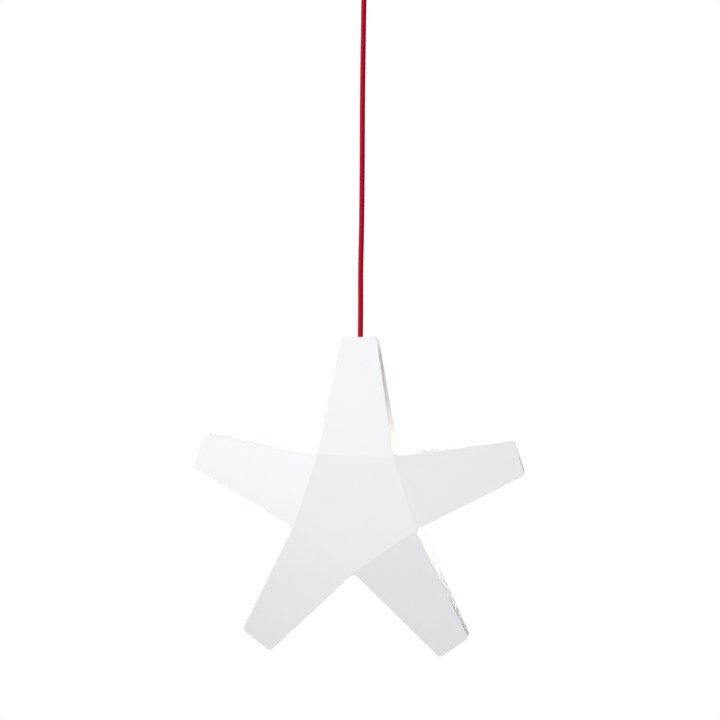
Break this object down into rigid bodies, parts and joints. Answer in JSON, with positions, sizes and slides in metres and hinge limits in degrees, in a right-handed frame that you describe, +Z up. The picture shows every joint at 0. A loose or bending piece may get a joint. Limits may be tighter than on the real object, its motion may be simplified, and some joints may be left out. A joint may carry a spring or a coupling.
{
  "type": "hanging star lamp",
  "caption": "Five-armed advent star of folded white sheet metal, lit from inside, hanging on a red textile cord from a hook under a ceiling cup.",
  "frame": {"origin": "middle of the ceiling plate's top face, where the lamp is screwed up", "axes": "+Z up, towards the ceiling; -Y out of the star's front, towards the viewer; +X to the viewer's right"},
  "size_m": [0.4024, 0.06, 0.8875],
  "materials": {
    "brass_contacts": "plain brass",
    "bridge_white": "matt powder coat on bent sheet steel",
    "bulb_body": "white moulded body",
    "bulb_cap": "rolled thread cap",
    "bulb_insulator": "black insulator",
    "bulb_opal": "opal diffuser, lit warm white",
    "bulb_tip": "soldered contact",
    "cord_textile": "tightly braided crimson textile sleeve",
    "cup_grip_plastic": "white moulded grip",
    "cup_white": "matt powder coat on spun steel",
    "hanger_plastic": "white moulded hanger",
    "holder_white": "white thermoset",
    "led_board": "white circuit board",
    "nickel_grip": "satin nickel plate",
    "star_white": "fine matt powder coat on folded sheet steel",
    "terminal_plastic": "pale moulded block",
    "wire_sheath": "insulated conductors",
    "zinc_plate": "zinc-plated steel",
    "zinc_screws": "zinc-plated screws",
    "zinc_threads": "zinc-plated threaded tube and nuts"
  },
  "bodies": {
    "ceiling_fitting": {"ceiling_plate": "zinc_plate", "ceiling_hook": "zinc_plate"},
    "link": {"hanger_link": "zinc_plate"},
    "cord": {"cord_hanger": "hanger_plastic", "cord_hanger_screw": "zinc_screws", "cord_end_wires": "wire_sheath", "terminal_block": "terminal_plastic", "terminal_screws": "zinc_screws", "hanging_cord": "cord_textile"},
    "cup": {"ceiling_cup": "cup_white", "cup_grip": "cup_grip_plastic", "cup_grip_nut": "cup_grip_plastic", "cup_grip_screw": "zinc_screws"},
    "star": {"front_shell": "star_white", "back_shell": "star_white", "top_bridge": "bridge_white", "left_bridge": "bridge_white", "lower_left_bridge": "bridge_white", "lower_right_bridge": "bridge_white", "right_bridge": "bridge_white", "bridge_screws": "zinc_screws", "lamp_bracket": "bridge_white", "cord_grip": "nickel_grip", "cord_grip_nut": "nickel_grip", "cord_grip_screw": "zinc_screws", "inner_cord": "cord_textile", "lampholder_nipple": "zinc_threads", "nipple_nuts": "zinc_threads", "lampholder_cap": "holder_white", "lampholder_body": "holder_white", "lampholder_thread": "brass_contacts", "centre_contact": "brass_contacts", "lampholder_terminals": "brass_contacts", "lamp_wires": "wire_sheath"},
    "bulb_contact": {"bulb_tip": "bulb_tip"},
    "bulb": {"bulb_globe": "bulb_opal", "bulb_collar": "bulb_body", "led_board": "led_board", "bulb_cap": "bulb_cap", "bulb_insulator": "bulb_insulator"}
  },
  "joints": [
    {"name": "swing_front_back", "type": "hinge", "parent": "ceiling_fitting", "child": "link", "pos_m": [0, 0, -0.028], "axis": [1, 0, 0], "range_deg": [-8, 8]},
    {"name": "swing_side", "type": "hinge", "parent": "link", "child": "cord", "pos_m": [0, 0, -0.0412], "axis": [0, 1, 0], "range_deg": [-8, 8]},
    {"name": "star_turn", "type": "hinge", "parent": "cord", "child": "star", "pos_m": [0.0019, 0, -0.511], "axis": [0, 0, 1], "range_deg": [-180, 180]},
    {"name": "cup_slide", "type": "slide", "parent": "cord", "child": "cup", "axis": [0, 0, -1], "range_m": [0, 0.12]},
    {"name": "bulb_travel", "type": "slide", "parent": "star", "child": "bulb_contact", "axis": [0, 0, -1], "range_m": [0, 0.01199]},
    {"name": "bulb_turn", "type": "hinge", "parent": "bulb_contact", "child": "bulb", "pos_m": [0.0019, 0, -0.65], "axis": [0, 0, -1], "range_deg": [0, 1530]}
  ],
  "couplings": [
    {"joint": "bulb_travel", "follows": "bulb_turn", "m_per_rad": 0.00044917}
  ]
}
